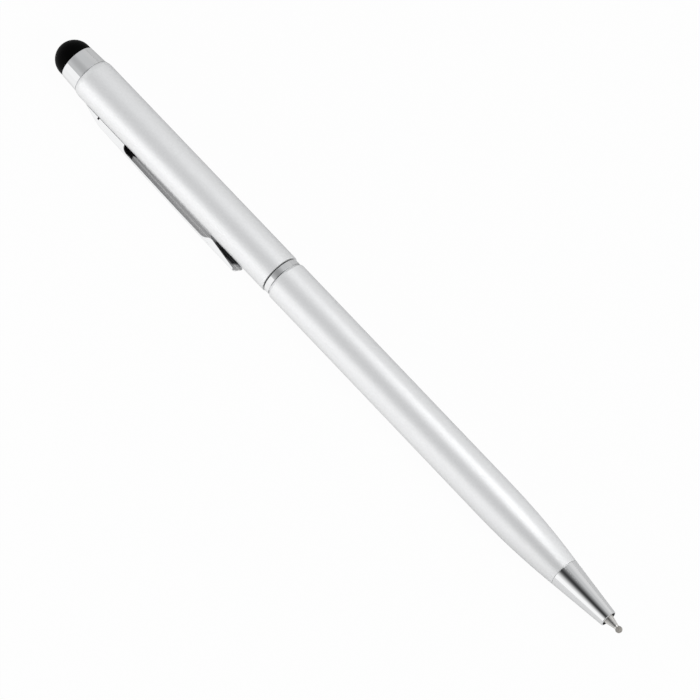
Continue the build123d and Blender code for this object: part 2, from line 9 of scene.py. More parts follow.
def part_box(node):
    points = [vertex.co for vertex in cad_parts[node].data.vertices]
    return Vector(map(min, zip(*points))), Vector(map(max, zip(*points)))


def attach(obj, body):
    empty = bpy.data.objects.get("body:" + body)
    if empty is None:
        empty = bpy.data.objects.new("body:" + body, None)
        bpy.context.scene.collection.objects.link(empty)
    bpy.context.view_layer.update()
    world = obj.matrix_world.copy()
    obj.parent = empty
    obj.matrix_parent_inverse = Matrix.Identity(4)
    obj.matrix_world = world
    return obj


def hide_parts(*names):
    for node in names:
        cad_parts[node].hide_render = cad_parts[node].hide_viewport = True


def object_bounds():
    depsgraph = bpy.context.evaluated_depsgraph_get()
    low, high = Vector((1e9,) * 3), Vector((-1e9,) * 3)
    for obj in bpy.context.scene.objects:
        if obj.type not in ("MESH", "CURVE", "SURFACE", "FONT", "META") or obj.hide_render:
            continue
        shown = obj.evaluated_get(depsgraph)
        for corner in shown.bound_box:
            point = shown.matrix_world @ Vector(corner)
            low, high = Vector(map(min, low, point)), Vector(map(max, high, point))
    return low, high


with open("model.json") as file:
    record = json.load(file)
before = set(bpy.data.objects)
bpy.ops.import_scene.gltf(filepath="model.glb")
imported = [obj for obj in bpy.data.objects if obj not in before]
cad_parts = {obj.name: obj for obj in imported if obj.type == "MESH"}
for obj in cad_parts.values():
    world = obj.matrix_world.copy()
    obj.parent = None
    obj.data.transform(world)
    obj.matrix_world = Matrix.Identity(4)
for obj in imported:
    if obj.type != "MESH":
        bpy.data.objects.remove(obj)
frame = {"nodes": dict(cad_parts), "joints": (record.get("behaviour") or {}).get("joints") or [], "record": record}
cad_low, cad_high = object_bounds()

# Slim twist pen with a stylus dome, lying on a white table. All sizes are in metres.
# The pen lies along X with its writing tip towards +X, and its clip leans out on the -Y side.
PEN_AXIS = Vector((1, 0, 0))

# Fineness of the pieces
TURN_STEPS = 144
ARC_STEPS = 24
ROUND_SEGMENTS = 3
MERGE_DISTANCE = 1e-7
CORNER_TOLERANCE = 4e-6
SHARP_ANGLE = math.radians(50)

# Barrels
BARREL_BORE = 0.003115
MOUTH_CHAMFER_LENGTH = 0.00040
MOUTH_CHAMFER_DROP = 0.00025
TAPER_LENGTH = 0.0165
FRONT_BORE = 0.001905
FRONT_BORE_PLAY = 0.0001
BORE_CONE_LENGTH = 0.0095
TOP_ROUND_LENGTH = 0.0010
TOP_ROUND_DROP = 0.00020
BARREL_EDGE = 0.00006
TANG_SLOT_REACH = 0.00078
TANG_SLOT_WIDTH = 0.0024
TANG_SLOT_SETBACK = 0.0022

# Centre ring and nose
RING_BORE = 0.002725
RING_EDGE = 0.00009
SEAM_WIDTH = 0.00010
SEAM_DEPTH = 0.00020
SEAM_EDGE = 0.00003
NOSE_END_RADIUS = 0.001455
NOSE_BORE = 0.001275
NOSE_BORE_EDGE = 0.00002
NOSE_LENGTH = 0.0105
NOSE_RIM_ROUND = 0.00014
NOSE_SEAM_WIDTH = 0.00006
NOSE_SEAM_DEPTH = 0.00012
SPIGOT_RADIUS = 0.001875
TRIM_EDGE = 0.00004

# Collar and dome
COLLAR_BORE = 0.002660
COLLAR_MOUTH_RADIUS = 0.003240
COLLAR_FLOOR = 0.00080
COLLAR_EDGE = 0.00010
CORE_BORE = 0.001330
SKIRT_RADIUS = 0.002630
SKIRT_BORE = 0.001930
DOME_BAND = 0.00067

# Writing point and seal
SHANK_RADIUS = 0.000845
SHANK_LENGTH = 0.0040
SHANK_CHANNEL = 0.00045
INK_CHANNEL = 0.00018
SHOULDER_LENGTH = 0.00080
CONE_LENGTH = 0.00305
NECK_RADIUS = 0.000432
BALL_SEAT_RADIUS = 0.000362
BALL_SEATING = 0.00008
POINT_EDGE = 0.00003

# Clip
CLIP_MERGE_ANGLE = math.radians(0.4)
CLIP_EDGE = 0.00004
CLIP_EDGE_SEGMENTS = 2
CLIP_EDGE_ANGLE = math.radians(38)
CLIP_WIDTH = 0.0030
CLIP_SHEET = 0.00038

# Handling marks on the pen's finishes
MARK_INPUTS = ("Roughness", "Mottle", "Mottle Scale", "Scratch", "Scratch Scale")
MOTTLE_DETAIL = 3
SCRATCH_DETAIL = 2
SCRATCH_STRETCH = (0.04, 1, 1)
NOISE_MIDDLE = 0.5

# Inside of the clip: where its finish changes, and the painted shade and painted highlight there
WALL_REACH_SHARES = (1 / 3, 1 / 5)
INWARD_FACING = (0.4, 0.2)
ROOT_SHADE_END = 0.0127
ROOT_SHADE_SLANT = 0.55
FOOT_SHADE_START = 0.0066
FOOT_SHADE_END = 0.0009
SHADE_FADE = 0.0004
LIP_FADE = 0.0008
# Painted highlight: a light line down the middle of the clip's inner face, in place of the barrel's reflection
# there
HIGHLIGHT_LINE_HALF_WIDTH = 0.00016
HIGHLIGHT_LINE_REACH = 0.00032
STREAK_STRETCH = (0.015, 1, 1)
STREAK_SCALE = 3600
STREAK_DETAIL = 1
STREAK_CONTRAST = (-0.12, 0.12)
STREAK_SHARE = 0.45
# Inner face of the strip: lengthwise streaks, partly die lines and partly painted reflection, on a grey that is
# painted shade; the white also makes the painted highlight line
STRIP_STREAKS_AND_PAINTED_LIGHT = ((0.58, 0.58, 0.59, 1), (1.0, 1.0, 1.0, 1))
# Foot's hollow: painted shade, a dark streaked grey
FOOT_PAINTED_SHADE = ((0.08, 0.08, 0.084, 1), (0.45, 0.45, 0.455, 1))
# Root's deep end: painted shade, near black
ROOT_SHADE = (0.01, 0.01, 0.011, 1)
# Duller roughness where shade is painted in the root and the foot
PAINTED_SHADE_ROUGHNESS = 0.85
INNER_METALLIC_LOSS = 0.3

# Camera, placed as for the photograph
CAMERA_TILT = math.radians(17.2)
CAMERA_LEAN = math.radians(5.0)
PEN_SLOPE = math.radians(46.34)
CAMERA_DISTANCE = 1.0
CAMERA_NEAR = 0.01
CAMERA_LENS = 321.4
CAMERA_SENSOR = 36.0
CAMERA_TARGET = Vector((0.0161, -0.00023, -0.00006))

# Table: how white it looks straight on, and in the pen's metal on its near and far side
FLOOR_SIZE = 3.0
FLOOR_COLOUR = (0.62, 0.62, 0.62)
SEEN_WHITE_SHARE = 0.97
TAIL_TABLE_SHARES = (1.0, 0.07)
TIP_TABLE_SHARES = (0.45, 0.12)
WHITE_TABLE_FULL = -0.0105
WHITE_TABLE_START = 0.0025
TIP_TABLE_START = 0.03
TIP_TABLE_FULL = 0.06

# Light tent: its shades, and its edges in parts of the unit direction, from tail to tip or start to full
WHITE = (1, 1, 1, 1)
TENT_TOP = (0.60, 0.605, 0.61, 1)
TENT_FAR_SIDE = (0.64, 0.64, 0.64, 1)
TENT_FAR_TIP = (0.78, 0.78, 0.78, 1)
TENT_NEAR_TAIL = (1.05, 1.05, 1.05, 1)
TENT_NEAR_TIP = (1.10, 1.10, 1.10, 1)
TENT_NEAR_TIP_LOW = (0.82, 0.82, 0.82, 1)
TENT_FRONT = (0.40, 0.40, 0.40, 1)
TENT_OPENING = (0.01, 0.01, 0.011, 1)
FAR_SIDE_REACH = (0.70, 0.95)
NEAR_SIDE_REACH = (-0.33, -0.05)
NEAR_SIDE_EDGES = (0.70, 0.25)
NEAR_EDGE_SOFTNESS = (0.02, 0.35)
NEAR_SIDE_FRONT = (-0.02, 0.08)
TIP_LOW_REACH = (0.15, 0.19)
OPENING_AIM = Vector((0.22, -0.14, 0.965)).normalized()
OPENING_INNER = math.radians(12)
OPENING_OUTER = math.radians(47)

nodes = frame["nodes"]
body_of_node = {
    node: body for body, members in frame["record"]["behaviour"]["bodies"].items() for node in members
}
clip_joint = next(joint for joint in frame["joints"] if joint["name"] == "clip_flex")
clip_across = Vector(clip_joint["axis"])
clip_outward = clip_across.cross(PEN_AXIS)


# Shapes

def linked_object(name, shape):
    """Writes a shape to a new object in the scene."""
    mesh = bpy.data.meshes.new(name)
    shape.to_mesh(mesh)
    shape.free()
    piece = bpy.data.objects.new(name, mesh)
    bpy.context.scene.collection.objects.link(piece)
    return piece


def smooth_shaded(mesh):
    """Shades the faces smooth and keeps only steep edges sharp."""
    mesh.shade_smooth()
    mesh.set_sharp_from_angle(angle=SHARP_ANGLE)


def finished(name, shape):
    """A smooth object whose normals follow the faces beside its rounded edges."""
    piece = linked_object(name, shape)
    smooth_shaded(piece.data)
    weighting = piece.modifiers.new("even_shading", "WEIGHTED_NORMAL")
    weighting.mode = "CORNER_ANGLE"
    weighting.use_face_influence = True
    weighting.keep_sharp = True
    return piece


def stand_for(piece, node, material):
    """The piece takes the place of a node: its body and its finish."""
    piece.data.materials.append(material)
    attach(piece, body_of_node[node])
    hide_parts(node)


def tangent_arc(start_x, radius, length, drop):
    """Points of an arc that leaves a straight wall without a kink and drops inward over a length."""
    arc_radius = (length**2 + drop**2) / (2 * abs(drop))
    end_angle = math.asin(abs(length) / arc_radius)
    sense = math.copysign(1, length)
    points = []
    for step in range(ARC_STEPS + 1):
        angle = end_angle * step / ARC_STEPS
        along = sense * arc_radius * math.sin(angle)
        inward = arc_radius * (1 - math.cos(angle))
        points.append((start_x + along, radius - inward))
    return points


def round_arc(centre_x, radius, start_angle, end_angle):
    """Points of an arc about a centre on the axis, with angles from +X."""
    points = []
    for step in range(ARC_STEPS + 1):
        angle = start_angle + (end_angle - start_angle) * step / ARC_STEPS
        points.append((centre_x + radius * math.cos(angle), radius * math.sin(angle)))
    return points


def on_circle(edge, x, radius):
    """True for an edge that runs round the axis at this place."""
    for vert in edge.verts:
        off_x = abs(vert.co.x - x)
        off_radius = abs(math.hypot(vert.co.y, vert.co.z) - radius)
        if max(off_x, off_radius) >= CORNER_TOLERANCE:
            return False
    return True


def turned(name, outline, rounds=(), closed=True):
    """Spins an outline of (x, radius) points about the pen's axis, then rounds the named corners."""
    shape = bmesh.new()
    corners = [shape.verts.new((x, 0, radius)) for x, radius in outline]
    pairs = list(zip(corners, corners[1:]))
    if closed:
        pairs.append((corners[-1], corners[0]))
    edges = [shape.edges.new(pair) for pair in pairs]
    bmesh.ops.spin(
        shape,
        geom=corners + edges,
        cent=(0, 0, 0),
        axis=PEN_AXIS,
        angle=math.tau,
        steps=TURN_STEPS,
        use_merge=True,
    )
    bmesh.ops.remove_doubles(shape, verts=shape.verts, dist=MERGE_DISTANCE)
    bmesh.ops.recalc_face_normals(shape, faces=shape.faces)
    for corner_x, corner_radius, round_size in rounds:
        circle = [edge for edge in shape.edges if on_circle(edge, corner_x, corner_radius)]
        bmesh.ops.bevel(
            shape,
            geom=circle,
            offset=round_size,
            segments=ROUND_SEGMENTS,
            profile=0.5,
            affect="EDGES",
            material=-1,
            face_strength_mode="AFFECTED",
        )
    return finished(name, shape)


def lower_barrel_piece():
    """Tube with a chamfered mouth at the ring, drawn in towards the nose."""
    low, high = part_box("lower_barrel")
    nose_low, nose_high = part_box("nose_cone")
    barrel = high.z
    taper = tangent_arc(high.x - TAPER_LENGTH, barrel, TAPER_LENGTH, barrel - nose_high.z)
    bore_end = nose_low.x - FRONT_BORE_PLAY
    outline = [
        (low.x, BARREL_BORE),
        (low.x, barrel - MOUTH_CHAMFER_DROP),
        (low.x + MOUTH_CHAMFER_LENGTH, barrel),
        *taper,
        (high.x, FRONT_BORE),
        (bore_end, FRONT_BORE),
        (bore_end - BORE_CONE_LENGTH, BARREL_BORE),
    ]
    rounds = [
        (low.x, barrel - MOUTH_CHAMFER_DROP, BARREL_EDGE),
        (low.x + MOUTH_CHAMFER_LENGTH, barrel, BARREL_EDGE),
        (high.x, nose_high.z, TRIM_EDGE),
    ]
    return turned("barrel_lower_tube", outline, rounds)


def nose_piece():
    """Cone with a fine seam at its base and a spigot inside the barrel."""
    low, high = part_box("nose_cone")
    base_x = high.x - NOSE_LENGTH
    seam_x = base_x + NOSE_SEAM_WIDTH
    seam_radius = high.z - (high.z - NOSE_END_RADIUS) * NOSE_SEAM_WIDTH / NOSE_LENGTH
    outline = [
        (base_x, high.z - NOSE_SEAM_DEPTH),
        (seam_x, high.z - NOSE_SEAM_DEPTH),
        (seam_x, seam_radius),
        (high.x, NOSE_END_RADIUS),
        (high.x, NOSE_BORE),
        (low.x, NOSE_BORE),
        (low.x, SPIGOT_RADIUS),
        (base_x, SPIGOT_RADIUS),
    ]
    rounds = [
        (seam_x, seam_radius, SEAM_EDGE),
        (high.x, NOSE_END_RADIUS, NOSE_RIM_ROUND),
        (high.x, NOSE_BORE, NOSE_BORE_EDGE),
    ]
    return turned("nose_cone_turned", outline, rounds)


def ring_piece():
    """Ring between the barrels, with a seam on the lower barrel's side."""
    low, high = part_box("centre_ring")
    seam_x = high.x - SEAM_WIDTH
    outline = [
        (high.x, RING_BORE),
        (high.x, high.z - SEAM_DEPTH),
        (seam_x, high.z - SEAM_DEPTH),
        (seam_x, high.z),
        (low.x, high.z),
        (low.x, RING_BORE),
    ]
    rounds = [(seam_x, high.z, SEAM_EDGE), (low.x, high.z, RING_EDGE)]
    return turned("centre_ring_turned", outline, rounds)


def upper_barrel_piece():
    """Tube with a rounded top under the collar and a slot for the clip's tang."""
    low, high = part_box("upper_barrel")
    barrel = high.z
    top_round = tangent_arc(low.x + TOP_ROUND_LENGTH, barrel, -TOP_ROUND_LENGTH, TOP_ROUND_DROP)
    outline = [
        (low.x, BARREL_BORE),
        (high.x, BARREL_BORE),
        (high.x, barrel),
        *top_round,
    ]
    rounds = [(high.x, barrel, BARREL_EDGE), (low.x, barrel - TOP_ROUND_DROP, TRIM_EDGE)]
    piece = turned("barrel_upper_tube", outline, rounds)
    cut_tang_slot(piece, barrel)
    return piece


def cut_tang_slot(piece, barrel):
    """Cuts the slot under the clip through which its hooked tang reaches into the barrel."""
    lean = Matrix((PEN_AXIS, clip_outward, clip_across)).transposed().to_4x4()
    start_x = clip_joint["pos_m"][0] + TANG_SLOT_SETBACK
    middle = Vector((start_x + TANG_SLOT_REACH / 2, 0, 0)) + clip_outward * barrel
    size = Matrix.Diagonal((TANG_SLOT_REACH, barrel, TANG_SLOT_WIDTH, 1))
    shape = bmesh.new()
    bmesh.ops.create_cube(shape, size=1, matrix=Matrix.Translation(middle) @ lean @ size)
    cutter = linked_object("tang_slot_cutter", shape)
    cut = piece.modifiers.new("tang_slot", "BOOLEAN")
    cut.object = cutter
    cut.operation = "DIFFERENCE"
    cut.solver = "EXACT"
    # The cut is made final before the shading is evened out
    weighting = piece.modifiers["even_shading"]
    weighting.show_viewport = False
    bpy.context.view_layer.update()
    evaluated = piece.evaluated_get(bpy.context.evaluated_depsgraph_get())
    piece.data = bpy.data.meshes.new_from_object(evaluated)
    smooth_shaded(piece.data)
    piece.modifiers.remove(cut)
    weighting.show_viewport = True
    bpy.data.objects.remove(cutter)


def collar_piece():
    """Cup that holds the dome, with a seam on the upper barrel's side."""
    low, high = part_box("top_collar")
    seam_x = high.x - SEAM_WIDTH
    seam_radius = high.z - (high.z - COLLAR_MOUTH_RADIUS) * SEAM_WIDTH / (high.x - low.x)
    outline = [
        (high.x, CORE_BORE),
        (high.x, high.z - SEAM_DEPTH),
        (seam_x, high.z - SEAM_DEPTH),
        (seam_x, seam_radius),
        (low.x, COLLAR_MOUTH_RADIUS),
        (low.x, COLLAR_BORE),
        (high.x - COLLAR_FLOOR, COLLAR_BORE),
        (high.x - COLLAR_FLOOR, CORE_BORE),
    ]
    rounds = [
        (seam_x, seam_radius, SEAM_EDGE),
        (low.x, COLLAR_MOUTH_RADIUS, COLLAR_EDGE),
        (low.x, COLLAR_BORE, TRIM_EDGE),
    ]
    return turned("top_collar_turned", outline, rounds)


def dome_piece():
    """Hollow rubber dome with a short band and a skirt inside the collar."""
    low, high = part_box("stylus_tip")
    collar_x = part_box("top_collar")[0].x
    dome_x = collar_x - DOME_BAND
    dome_radius = dome_x - low.x
    outline = [
        *round_arc(dome_x, dome_radius, math.pi, math.pi / 2),
        (collar_x, dome_radius),
        (collar_x, SKIRT_RADIUS),
        (high.x, SKIRT_RADIUS),
        (high.x, SKIRT_BORE),
        *round_arc(dome_x, SKIRT_BORE, math.pi / 2, math.pi),
    ]
    rounds = [(collar_x, dome_radius, COLLAR_EDGE)]
    return turned("stylus_dome_rubber", outline, rounds, closed=False)


def point_piece():
    """Point of the refill: shank, shoulder, cone and neck, with a seat for the ball."""
    low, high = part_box("writing_point")
    ball_x = high.x - BALL_SEATING
    shoulder_x = low.x + SHANK_LENGTH
    shoulder_radius = high.z
    cone_x = shoulder_x + SHOULDER_LENGTH
    neck_x = cone_x + CONE_LENGTH
    seat_start = math.acos(BALL_SEATING / BALL_SEAT_RADIUS)
    seat_end = math.pi - math.asin(INK_CHANNEL / BALL_SEAT_RADIUS)
    outline = [
        (low.x, SHANK_CHANNEL),
        (low.x, SHANK_RADIUS),
        (shoulder_x, SHANK_RADIUS),
        (shoulder_x, shoulder_radius),
        (cone_x, shoulder_radius),
        (neck_x, NECK_RADIUS),
        (high.x, NECK_RADIUS),
        *round_arc(ball_x, BALL_SEAT_RADIUS, seat_start, seat_end),
        (shoulder_x, INK_CHANNEL),
        (shoulder_x, SHANK_CHANNEL),
    ]
    rounds = [(cone_x, shoulder_radius, POINT_EDGE), (neck_x, NECK_RADIUS, POINT_EDGE)]
    return turned("writing_point_turned", outline, rounds)


def seal_piece():
    """Drop of wax over the ball, hollow where the ball stands out."""
    point_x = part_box("writing_point")[1].x
    drop_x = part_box("tip_seal")[1].x
    ball_x = point_x - BALL_SEATING
    drop_radius = drop_x - ball_x
    drop_end = math.pi - math.asin(NECK_RADIUS / drop_radius)
    dimple_end = math.acos(BALL_SEATING / BALL_SEAT_RADIUS)
    outline = [
        *round_arc(ball_x, drop_radius, 0, drop_end),
        (point_x, NECK_RADIUS),
        *round_arc(ball_x, BALL_SEAT_RADIUS, dimple_end, 0),
    ]
    return turned("tip_seal_drop", outline, closed=False)


def clip_piece():
    """The pressed clip: its own faces joined into whole ones, with every edge of the sheet rounded."""
    shape = bmesh.new()
    shape.from_mesh(nodes["clip"].data)
    bmesh.ops.remove_doubles(shape, verts=shape.verts, dist=MERGE_DISTANCE)
    bmesh.ops.dissolve_limit(shape, angle_limit=CLIP_MERGE_ANGLE, verts=shape.verts, edges=shape.edges)
    piece = finished("clip_pressed", shape)
    rounding = piece.modifiers.new("sheet_edges", "BEVEL")
    rounding.face_strength_mode = "FSTR_AFFECTED"
    rounding.width = CLIP_EDGE
    rounding.segments = CLIP_EDGE_SEGMENTS
    rounding.limit_method = "ANGLE"
    rounding.angle_limit = CLIP_EDGE_ANGLE
    piece.modifiers.move(1, 0)
    return piece


# Shader nodes

def calculated(tree, operation, first, second=0):
    """A math node on sockets or numbers."""
    node = tree.nodes.new("ShaderNodeMath")
    node.operation = operation
    for socket, value in zip(node.inputs, (first, second)):
        if isinstance(value, (int, float)):
            socket.default_value = value
        else:
            tree.links.new(value, socket)
    return node.outputs["Value"]


def reach_along(tree, place, direction):
    """How far a place lies along a direction."""
    reach = tree.nodes.new("ShaderNodeVectorMath")
    reach.operation = "DOT_PRODUCT"
    reach.inputs[1].default_value = direction
    tree.links.new(place, reach.inputs[0])
    return reach.outputs["Value"]


def ramp_between(tree, value, low, high, curve="SMOOTHSTEP", start=0.0, end=1.0):
    """Runs from start to end while the value goes from low to high."""
    ramp = tree.nodes.new("ShaderNodeMapRange")
    ramp.interpolation_type = curve
    for label, setting in (("From Min", low), ("From Max", high), ("To Min", start), ("To Max", end)):
        ramp.inputs[label].default_value = setting
    tree.links.new(value, ramp.inputs["Value"])
    return ramp.outputs["Result"]


def colour_mix(tree, factor, first, second):
    """Mixes two colours, each a socket or four numbers."""
    mix = tree.nodes.new("ShaderNodeMix")
    mix.data_type = "RGBA"
    tree.links.new(factor, mix.inputs["Factor"])
    for label, colour in (("A", first), ("B", second)):
        if isinstance(colour, tuple):
            mix.inputs[label].default_value = colour
        else:
            tree.links.new(colour, mix.inputs[label])
    return mix.outputs["Result"]


def stretched(tree, place, scale):
    """Coordinates drawn out along the pen, so that marks run lengthwise."""
    mapping = tree.nodes.new("ShaderNodeMapping")
    mapping.inputs["Scale"].default_value = scale
    tree.links.new(place, mapping.inputs["Vector"])
    return mapping.outputs["Vector"]


def noise_of(tree, place, scale, detail):
    """A noise value about zero, from -0.5 to 0.5."""
    noise = tree.nodes.new("ShaderNodeTexNoise")
    noise.inputs["Detail"].default_value = detail
    tree.links.new(place, noise.inputs["Vector"])
    if isinstance(scale, (int, float)):
        noise.inputs["Scale"].default_value = scale
    else:
        tree.links.new(scale, noise.inputs["Scale"])
    return calculated(tree, "SUBTRACT", noise.outputs["Fac"], NOISE_MIDDLE)


def handling_marks_group():
    """Fine handling marks: long faint scratches over a broad mottle, as a roughness and a height."""
    group = bpy.data.node_groups.new("handling_marks", "ShaderNodeTree")
    for label in MARK_INPUTS:
        group.interface.new_socket(label, in_out="INPUT", socket_type="NodeSocketFloat")
    for label in ("Roughness", "Height"):
        group.interface.new_socket(label, in_out="OUTPUT", socket_type="NodeSocketFloat")
    entry = group.nodes.new("NodeGroupInput").outputs
    leave = group.nodes.new("NodeGroupOutput").inputs
    place = group.nodes.new("ShaderNodeTexCoord").outputs["Object"]
    lengthwise = stretched(group, place, SCRATCH_STRETCH)
    mottle = noise_of(group, place, entry["Mottle Scale"], MOTTLE_DETAIL)
    scratch = noise_of(group, lengthwise, entry["Scratch Scale"], SCRATCH_DETAIL)
    broad = calculated(group, "MULTIPLY", mottle, entry["Mottle"])
    fine = calculated(group, "MULTIPLY", scratch, entry["Scratch"])
    marks = calculated(group, "ADD", broad, fine)
    group.links.new(calculated(group, "ADD", entry["Roughness"], marks), leave["Roughness"])
    group.links.new(scratch, leave["Height"])
    return group


HANDLING_MARKS = handling_marks_group()


# Finishes

def principled(name, colour, metallic=0.0):
    """A new material with its Principled shader, colour and metallic set."""
    material = bpy.data.materials.new(name)
    material.use_nodes = True
    shader = material.node_tree.nodes["Principled BSDF"]
    shader.inputs["Base Color"].default_value = (*colour, 1)
    shader.inputs["Metallic"].default_value = metallic
    return material, material.node_tree, shader


def tinted(tree, shader, dark, light, scale, detail):
    """Lets the base colour wander between two shades."""
    place = tree.nodes.new("ShaderNodeTexCoord")
    noise = tree.nodes.new("ShaderNodeTexNoise")
    noise.inputs["Scale"].default_value = scale
    noise.inputs["Detail"].default_value = detail
    tree.links.new(place.outputs["Object"], noise.inputs["Vector"])
    shade = colour_mix(tree, noise.outputs["Fac"], (*dark, 1), (*light, 1))
    tree.links.new(shade, shader.inputs["Base Color"])


def marked(tree, shader, roughness, mottle, mottle_scale, scratch, scratch_scale, depth):
    """Places the handling marks in a material, on its roughness and as a fine bump."""
    marks = tree.nodes.new("ShaderNodeGroup")
    marks.node_tree = HANDLING_MARKS
    values = (roughness, mottle, mottle_scale, scratch, scratch_scale)
    for label, value in zip(MARK_INPUTS, values):
        marks.inputs[label].default_value = value
    bump = tree.nodes.new("ShaderNodeBump")
    bump.inputs["Distance"].default_value = depth
    tree.links.new(marks.outputs["Roughness"], shader.inputs["Roughness"])
    tree.links.new(marks.outputs["Height"], bump.inputs["Height"])
    tree.links.new(bump.outputs["Normal"], shader.inputs["Normal"])


def lacquer_finish():
    """Satin silver lacquer: metal flakes under a thin clear coat."""
    material, tree, shader = principled("silver_lacquer_finish", (0.90, 0.905, 0.91), metallic=0.50)
    tinted(tree, shader, dark=(0.84, 0.845, 0.85), light=(0.96, 0.965, 0.97), scale=3000, detail=3)
    marked(
        tree,
        shader,
        roughness=0.36,
        mottle=0.05,
        mottle_scale=1400,
        scratch=0.10,
        scratch_scale=15000,
        depth=2e-6,
    )
    shader.inputs["Specular Tint"].default_value = (0.55, 0.55, 0.55, 1)
    shader.inputs["Coat Weight"].default_value = 0.08
    shader.inputs["Coat Roughness"].default_value = 0.10
    return material


def chrome_finish(name, roughness, scratch):
    """Bright chrome over polished metal."""
    material, tree, shader = principled(name, (0.85, 0.855, 0.86), metallic=1.0)
    tinted(tree, shader, dark=(0.83, 0.835, 0.84), light=(0.87, 0.875, 0.88), scale=400, detail=2)
    marked(
        tree,
        shader,
        roughness=roughness,
        mottle=0.02,
        mottle_scale=700,
        scratch=scratch,
        scratch_scale=12000,
        depth=1.5e-7,
    )
    return material


def metal_finish(name, dark, light, roughness, mottle, depth, scratch=0.10):
    """Bare turned metal with a faint tint and tool marks."""
    material, tree, shader = principled(name, light, metallic=1.0)
    tinted(tree, shader, dark, light, scale=1200, detail=3)
    marked(
        tree,
        shader,
        roughness=roughness,
        mottle=mottle,
        mottle_scale=1500,
        scratch=scratch,
        scratch_scale=14000,
        depth=depth,
    )
    return material


def plain_finish(name, dark, light, roughness, mottle, depth):
    """Moulded plastic or rubber with a fine skin."""
    material, tree, shader = principled(name, light)
    tinted(tree, shader, dark, light, scale=1600, detail=3)
    marked(
        tree,
        shader,
        roughness=roughness,
        mottle=mottle,
        mottle_scale=2500,
        scratch=0.08,
        scratch_scale=9000,
        depth=depth,
    )
    return material


def dome_finish():
    """Deep black conductive rubber that hardly shines."""
    material = plain_finish(
        "stylus_rubber_finish",
        dark=(0.0006, 0.0006, 0.0006),
        light=(0.0012, 0.0012, 0.0012),
        roughness=0.45,
        mottle=0.12,
        depth=2e-6,
    )
    shader = material.node_tree.nodes["Principled BSDF"]
    shader.inputs["Specular IOR Level"].default_value = 0.03
    return material


def point_finish():
    """Turned nickel silver with hardly a mark."""
    return metal_finish(
        "point_metal_finish",
        dark=(0.74, 0.725, 0.70),
        light=(0.80, 0.785, 0.76),
        roughness=0.34,
        mottle=0.02,
        depth=2e-8,
        scratch=0.02,
    )


def wax_finish():
    """Soft clear wax, slightly warm, over the dark ball."""
    material, tree, shader = principled("seal_wax_finish", (0.40, 0.38, 0.35))
    tinted(tree, shader, dark=(0.35, 0.33, 0.30), light=(0.45, 0.43, 0.40), scale=2600, detail=2)
    marked(
        tree,
        shader,
        roughness=0.12,
        mottle=0.06,
        mottle_scale=2400,
        scratch=0.03,
        scratch_scale=6000,
        depth=2e-7,
    )
    shader.inputs["Transmission Weight"].default_value = 0.3
    shader.inputs["IOR"].default_value = 1.5
    return material


def clip_inside(tree, normal, aside):
    """A mask of the faces between the clip's walls that don't look outward."""
    inner_wall = CLIP_WIDTH / 2 - CLIP_SHEET
    edges = [inner_wall + CLIP_SHEET * share for share in WALL_REACH_SHARES]
    between = ramp_between(tree, aside, *edges)
    inward = ramp_between(tree, reach_along(tree, normal, clip_outward), *INWARD_FACING)
    return calculated(tree, "MULTIPLY", between, inward)


def clip_root(tree, along, aside, root_x):
    """A mask of the deep end in the clip's root, where near-black shade is painted, whose edge slants back from
    the middle.
    """
    slanted = calculated(tree, "SUBTRACT", along, calculated(tree, "MULTIPLY", aside, ROOT_SHADE_SLANT))
    root_end = root_x + ROOT_SHADE_END - ROOT_SHADE_SLANT * CLIP_WIDTH / 2
    return ramp_between(tree, slanted, root_end, root_end - SHADE_FADE)


def clip_foot(tree, along, foot_x):
    """A mask of the hollow of the clip's foot, from its heel to just short of its lip, where dark shade is
    painted.
    """
    heel_x = foot_x - FOOT_SHADE_START
    lip_x = foot_x - FOOT_SHADE_END
    past_heel = ramp_between(tree, along, heel_x, heel_x + SHADE_FADE)
    before_lip = ramp_between(tree, along, lip_x, lip_x - LIP_FADE)
    return calculated(tree, "MULTIPLY", past_heel, before_lip)


